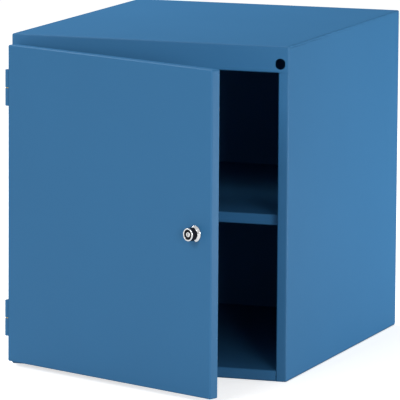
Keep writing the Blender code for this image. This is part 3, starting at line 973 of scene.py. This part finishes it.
@dataclass
class Lock:
    """Knob lock: rose and threaded housing, nut, fluted knob, key plug and cam.

    The rose's edge is the height of its straight rim, the nut's face is the radius at which its
    chamfer starts to slope, and the flutes' centres hang over the knob's rim by the overhang.
    """

    finishes: FinishSet
    swing: DoorSwing
    columns: int = 240
    clearance: float = 0.0003
    edge_soft: float = 0.0002
    rose_edge: float = 0.0008
    rose_soft: float = 0.0008
    thread_pitch: float = 0.001
    thread_depth: float = 0.0005
    thread_steps: int = 12
    nut_face: float = 0.0104
    nut_slope: float = 0.577
    nut_steps: int = 10
    recess_radius: float = 0.0074
    recess_depth: float = 0.0045
    recess_soft: float = 0.0006
    rim_inner_soft: float = 0.0011
    rim_outer_soft: float = 0.0014
    grip_soft: float = 0.0006
    grip_steps: int = 36
    flutes: int = 12
    flute_radius: float = 0.0014
    flute_overhang: float = 0.00035
    washers: tuple[tuple[str, Body], ...] = (("lock_washer", Body.DOOR), ("cam_washer", Body.KNOB))
    bevelled: tuple[tuple[str, Body, Slot], ...] = (
        ("lock_cam", Body.KNOB, Slot.ZINC),
        ("cam_screw", Body.KNOB, Slot.ZINC),
        ("lock_key_plug", Body.PLUG, Slot.CHROME),
    )

    def build(self) -> None:
        """Turns the round pieces about the lock's axis and softens the edges of the others."""
        axis = Spindle.deep(self.swing, self.swing.shut_place("knob_turn"), self.columns)
        self.build_housing(axis)
        self.build_nut(axis)
        self.build_knob(axis)
        for node, body in self.washers:
            ring = axis.plain(f"{node}_turned", node, self.edge_soft, hollow=True)
            self.finishes.dress(ring, body, Slot.ZINC, node)
        for node, body, slot in self.bevelled:
            piece = smooth_copy(f"{node}_soft", node, self.edge_soft / 2)
            self.finishes.dress(piece, body, slot, node)

    def build_housing(self, axis: Spindle) -> None:
        """Turns the rose, whose front slopes at 45 degrees, and its tube, with a screw thread.

        On the tube the radius is tube - depth * fade * wave, where the wave goes evenly from 0 to 1
        and back once in each pitch of place / pitch - angle / full turn, and the fade ends the thread.

        Args:
            axis: the lock's axis.
        """
        size = axis.measure("lock_housing")
        tube = axis.measure("lock_washer").hole - self.clearance
        back = axis.measure("door_panel").start - self.clearance
        edge = back - self.rose_edge
        collar = size.rim - (edge - size.start)
        start = back + self.rose_soft
        rows = int((size.end - start) / self.thread_pitch * self.thread_steps)
        place = np.linspace(start, size.end - self.rose_soft, rows)[:, None]
        phase = place / self.thread_pitch - axis.angles() / math.tau
        wave = 2.0 * np.abs(phase - np.round(phase))
        fade = np.minimum(place - place[0], place[-1] - place) / self.thread_pitch
        thread = tube - self.thread_depth * np.clip(fade, 0.0, 1.0) * wave
        pairs = softened(np.array([
            (size.hole, size.end, self.edge_soft),
            (size.hole, size.start, self.edge_soft),
            (collar, size.start, self.rose_soft),
            (size.rim, edge, self.rose_soft / 2),
            (size.rim, back, self.edge_soft),
            (tube, back, self.edge_soft),
            (tube, size.end, self.rose_soft),
        ]))
        head, tail = pairs[:-1].reshape(-1, 2), pairs[-1]
        wide = np.ones(self.columns)
        radius = np.concatenate([head[:, :1] * wide, thread, tail[:, :1] * wide])
        place = np.concatenate([head[:, 1], place[:, 0], tail[:, 1]])
        piece = axis.turn("lock_housing_threaded", place, radius, True)
        self.finishes.dress(piece, Body.DOOR, Slot.CHROME, "lock_housing")

    def build_nut(self, axis: Spindle) -> None:
        """Turns the nut: the smaller of a hexagon and of a cone that chamfers both faces.

        The hexagon's radius is half the flats over the cosine of the angle from the middle of a flat.
        Two flats are level, so the nut's height is the distance between them.

        Args:
            axis: the lock's axis.
        """
        size = axis.measure("lock_nut")
        low, high = self.swing.shut_box("lock_nut")
        sixth = math.tau / 6
        hexagon = (high - low)[2] / 2 / np.cos(axis.angles() % sixth - sixth / 2)
        cone = np.linspace(self.nut_face, hexagon.max(), self.nut_steps)
        drop = (cone - self.nut_face) * self.nut_slope
        limit = np.concatenate([[size.hole], cone, cone[::-1], [size.hole]])
        place = np.concatenate([[size.start], size.start + drop, size.end - drop[::-1], [size.end]])
        radius = np.minimum(hexagon, limit[:, None])
        piece = axis.turn("lock_nut_chamfered", place, radius, True)
        self.finishes.dress(piece, Body.DOOR, Slot.ZINC, "lock_nut")

    def flute_limit(self, knob: RoundSize, place: Array, angle: Array) -> Array:
        """Gives how near the axis the ball-ended flutes come.

        A flute is a circle of radius f about a point at distance c: c cos(d) - sqrt(f^2 - (c sin d)^2),
        with d the angle from the nearest flute; f shrinks like a ball towards the front end.

        Args:
            knob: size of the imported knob.
            place: position of each row along the axis.
            angle: angle of each column about it.

        Returns:
            Radii, rows by columns, endless where there is no flute.
        """
        circle = knob.rim + self.flute_overhang
        ball = knob.start + 2.0 * self.flute_radius
        share = math.tau / self.flutes
        offset = (angle + share / 2) % share - share / 2
        short = np.clip(ball - place, 0.0, self.flute_radius)
        reach = (self.flute_radius ** 2 - short ** 2)[:, None]
        depth = reach - (circle * np.sin(offset)) ** 2
        cut = circle * np.cos(offset) - np.sqrt(np.maximum(depth, 0.0))
        return np.where(depth > 0.0, cut, np.inf)

    def knob_profile(self, axis: Spindle, knob: RoundSize) -> tuple[Array, Array]:
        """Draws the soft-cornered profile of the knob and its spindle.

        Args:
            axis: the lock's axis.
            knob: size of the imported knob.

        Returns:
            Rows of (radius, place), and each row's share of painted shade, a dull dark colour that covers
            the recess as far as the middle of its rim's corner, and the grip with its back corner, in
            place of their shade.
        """
        housing, plug = axis.measure("lock_housing"), axis.measure("lock_key_plug")
        back = housing.start - self.clearance
        spindle = housing.hole - self.clearance
        seat, seat_end = plug.rim + self.clearance, plug.end + self.clearance
        floor = knob.start + self.recess_depth
        screw_end = axis.measure("cam_screw").start - self.clearance
        recess = [
            (0.0, seat_end, 0.0),
            (seat, seat_end, self.edge_soft),
            (seat, floor, self.edge_soft),
            (self.recess_radius, floor, self.recess_soft),
        ]
        rim = [
            (self.recess_radius, knob.start, self.rim_inner_soft),
            (knob.rim, knob.start, self.rim_outer_soft),
        ]
        rear = [
            (knob.rim, back, self.grip_soft),
            (spindle, back, self.edge_soft),
            (spindle, knob.end, self.edge_soft),
            (knob.hole, knob.end, self.edge_soft),
            (knob.hole, screw_end, 0.0),
            (0.0, screw_end, 0.0),
        ]
        pairs = softened(np.array(recess + rim + rear))
        before, after = np.split(pairs, [len(recess + rim)])
        grip = np.linspace(before[-1, -1], after[0, 0], self.grip_steps)[1:-1]
        profile = np.concatenate([before.reshape(-1, 2), grip, after.reshape(-1, 2)])
        corner = pairs.shape[1]
        half = corner // 2
        # Rows of the recess in painted shade, the bright plated rim, the grip in painted shade and the
        # bright spindle.
        runs = [len(recess) * corner + half, len(rim) * corner - half,
                len(grip) + corner, (len(rear) - 1) * corner]
        return profile, np.repeat([1.0, 0.0, 1.0, 0.0], runs)

    def build_knob(self, axis: Spindle) -> None:
        """Turns the knob and its spindle: the smaller of a soft-cornered profile and of the flutes.

        Args:
            axis: the lock's axis.
        """
        knob = axis.measure("lock_knob")
        # The recess and the grip get painted shade, a dull dark colour in place of their shadow and dark
        # reflections.
        profile, lacquer = self.knob_profile(axis, knob)
        place = profile[:, 1]
        radius = np.minimum(profile[:, :1], self.flute_limit(knob, place, axis.angles()))
        piece = axis.turn("lock_knob_fluted", place, radius, False, lacquer)
        self.finishes.dress(piece, Body.KNOB, Slot.CHROME, "lock_knob")


@dataclass(frozen=True)
class SoftBox:
    """One large soft lamp."""

    name: str
    place: Point
    aim: Point
    width: float
    height: float
    power: float

    def build(self) -> None:
        """Hangs the lamp at its place and turns it to its aim."""
        lamp = bpy.data.lights.new(self.name, "AREA")
        lamp.shape = "RECTANGLE"
        lamp.size = self.width
        lamp.size_y = self.height
        lamp.energy = self.power
        holder = bpy.data.objects.new(self.name, lamp)
        holder.location = self.place
        way = Vector(self.aim) - Vector(self.place)
        holder.rotation_euler = way.to_track_quat("-Z", "Y").to_euler()
        bpy.context.scene.collection.objects.link(holder)


@dataclass
class Studio:
    """Pale floor, white surroundings and soft lamps."""

    floor_gap: float = 0.0002
    floor_reach: float = 9.0
    floor_steps: int = 2
    surround: float = 0.47
    lamps: tuple[SoftBox, ...] = (
        SoftBox("upper_left", place=(-2.0, 1.1, 2.2), aim=(0.0, 0.0, 0.0),
                width=1.2, height=1.2, power=92.0),
        SoftBox("front_left", place=(-0.9, -3.8, 2.1), aim=(0.0, -0.3, -0.26),
                width=2.0, height=1.6, power=68.0),
        SoftBox("right", place=(1.50, 0.40, -0.44), aim=(0.225, 0.05, -0.42),
                width=0.6, height=0.12, power=13.0),
        SoftBox("front_right", place=(2.16, -3.32, 0.35), aim=(0.2, -0.3, -0.3),
                width=0.8, height=0.8, power=43.0),
    )

    def build(self) -> None:
        """Lays the floor, sets the surroundings and hangs the lamps."""
        bpy.context.scene.view_settings.view_transform = "Standard"
        self.build_floor()
        self.build_world()
        for lamp in self.lamps:
            lamp.build()

    def build_floor(self) -> None:
        """Lays a level square just below the cupboard: (across, deep) over an even grid."""
        side = np.linspace(-self.floor_reach, self.floor_reach, self.floor_steps)
        across, deep = np.meshgrid(side, side, indexing="ij")
        level = np.full_like(across, CAD_BOX[0][2] - self.floor_gap)
        points = np.stack([across, deep, level], axis=-1)
        mesh = bpy.data.meshes.new("studio_floor")
        faces = grid_faces(self.floor_steps, self.floor_steps, False, False)
        mesh.from_pydata(points.reshape(-1, 3).tolist(), [], faces.tolist())
        mesh.materials.append(FloorPaint().material())
        floor = bpy.data.objects.new("studio_floor", mesh)
        bpy.context.scene.collection.objects.link(floor)

    def build_world(self) -> None:
        """Makes the surroundings white to the camera and to reflections, and dimmer as a light."""
        world = bpy.data.worlds.new("white_surround")
        world.use_nodes = True
        bpy.context.scene.world = world
        graph = Graph(world.node_tree)
        strength = graph.background_rays().larger(self.surround)
        sockets = {"Color": (*WHITE, 1.0), "Strength": strength}
        background = graph.node("ShaderNodeBackground", {}, sockets)
        graph.add("ShaderNodeOutputWorld", {}, {"Surface": background})


@dataclass
class PhotoCamera:
    """Camera at the photograph's place, fitted to the cupboard's corners."""

    place: Point = (2.5290, -7.1691, 0.8255)
    yaw: float = -19.54
    pitch: float = 8.31
    roll: float = 0.38
    focal_pixels: float = 4844.0
    image_pixels: float = 400.0
    sensor: float = 36.0

    def build(self) -> None:
        """Points the camera by its yaw, pitch and roll in degrees, and makes it the scene's."""
        yaw, pitch, roll = (math.radians(angle) for angle in (self.yaw, self.pitch, self.roll))
        level = Vector((math.cos(yaw), -math.sin(yaw), 0.0))
        ahead = Vector((math.sin(yaw), math.cos(yaw), 0.0))
        forward = math.cos(pitch) * ahead - math.sin(pitch) * Vector(UP)
        upright = level.cross(forward)
        right = math.cos(roll) * level + math.sin(roll) * upright
        above = math.cos(roll) * upright - math.sin(roll) * level
        data = bpy.data.cameras.new("photo_camera")
        data.sensor_width = self.sensor
        data.lens = self.sensor * self.focal_pixels / self.image_pixels
        camera = bpy.data.objects.new("photo_camera", data)
        turn = Matrix((right, above, -forward)).transposed().to_4x4()
        camera.matrix_world = Matrix.Translation(self.place) @ turn
        bpy.context.scene.collection.objects.link(camera)
        bpy.context.scene.camera = camera


def main() -> None:
    """Builds the sub-assemblies in order, then the studio and the camera."""
    logging.basicConfig(level=logging.INFO, format="%(name)s: %(message)s")
    finishes = FinishSet()
    swing = DoorSwing()
    for part in (Carcass(finishes), Door(finishes, swing), Hinges(finishes, swing), Lock(finishes, swing)):
        part.build()
    Studio().build()
    PhotoCamera().build()


if __name__ == "__main__":
    main()
